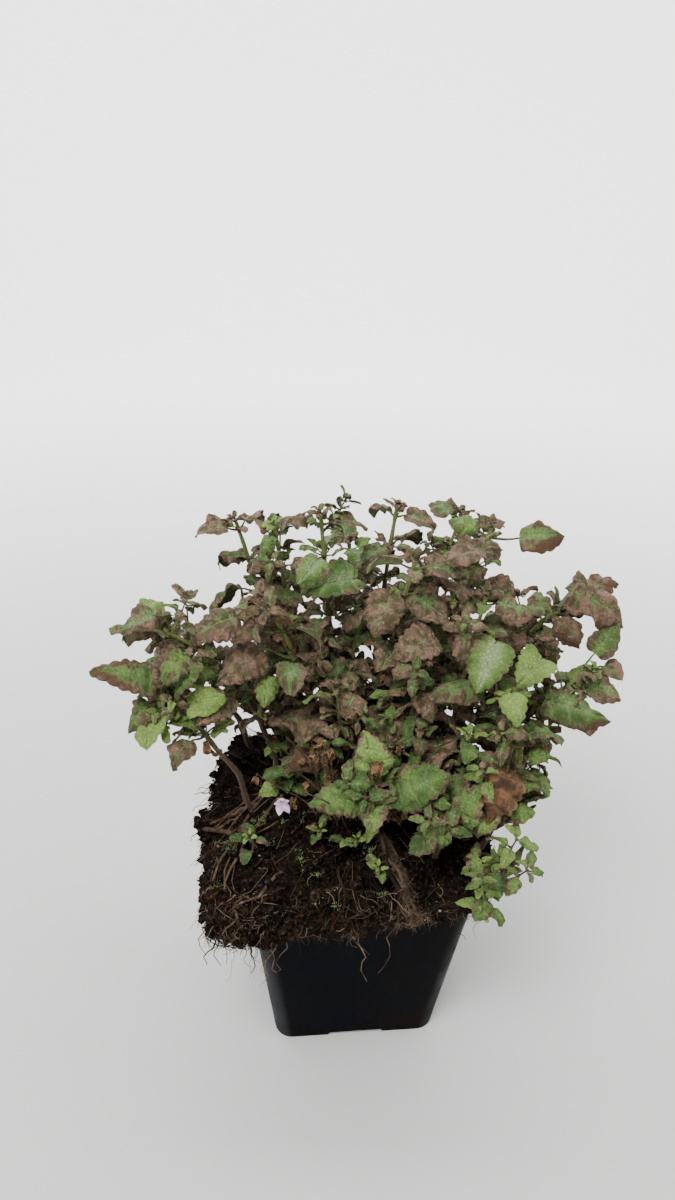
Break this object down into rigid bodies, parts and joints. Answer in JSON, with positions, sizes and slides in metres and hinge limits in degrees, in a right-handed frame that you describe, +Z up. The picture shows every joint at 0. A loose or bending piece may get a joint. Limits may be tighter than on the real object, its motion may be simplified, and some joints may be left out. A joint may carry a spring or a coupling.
{
  "type": "potted dead nettle plant",
  "caption": "Potted spotted dead nettle: square tapered black nursery pot, overhanging fibrous root ball and a dome of leafy stems with toothed leaves.",
  "frame": {"origin": "middle of the pot's base, on the surface it stands on", "axes": "+Z up, -Y towards the side the picture shows, +X to its right"},
  "size_m": [0.194, 0.1471, 0.2103],
  "materials": {
    "pot": "satin",
    "peat": "matte",
    "foliage": "matte",
    "twig": "matte",
    "petal": "matte"
  },
  "bodies": {
    "root": {"pot": "pot", "root_ball": "peat", "flower": "petal", "leafy_stem_01": "foliage", "leafy_stem_02": "foliage", "leafy_stem_03": "foliage", "leafy_stem_04": "foliage", "leafy_stem_05": "foliage", "leafy_stem_06": "foliage", "leafy_stem_07": "foliage", "leafy_stem_08": "foliage", "leafy_stem_09": "foliage", "leafy_stem_10": "foliage", "leafy_stem_11": "foliage", "leafy_stem_12": "foliage", "leafy_stem_13": "foliage", "leafy_stem_14": "foliage", "leafy_stem_15": "foliage", "leafy_stem_16": "foliage", "leafy_stem_17": "foliage", "leafy_stem_18": "foliage", "leafy_stem_19": "foliage", "leafy_stem_20": "foliage", "leafy_stem_21": "foliage", "leafy_stem_22": "foliage", "leafy_stem_23": "foliage", "leafy_stem_24": "foliage", "leafy_stem_25": "foliage", "leafy_stem_26": "foliage", "young_shoot_01": "foliage", "young_shoot_02": "foliage", "young_shoot_03": "foliage", "young_shoot_04": "foliage", "young_shoot_05": "foliage", "twig_01": "twig", "twig_02": "twig", "twig_03": "twig", "twig_04": "twig", "twig_05": "twig", "twig_06": "twig"}
  },
  "joints": []
}
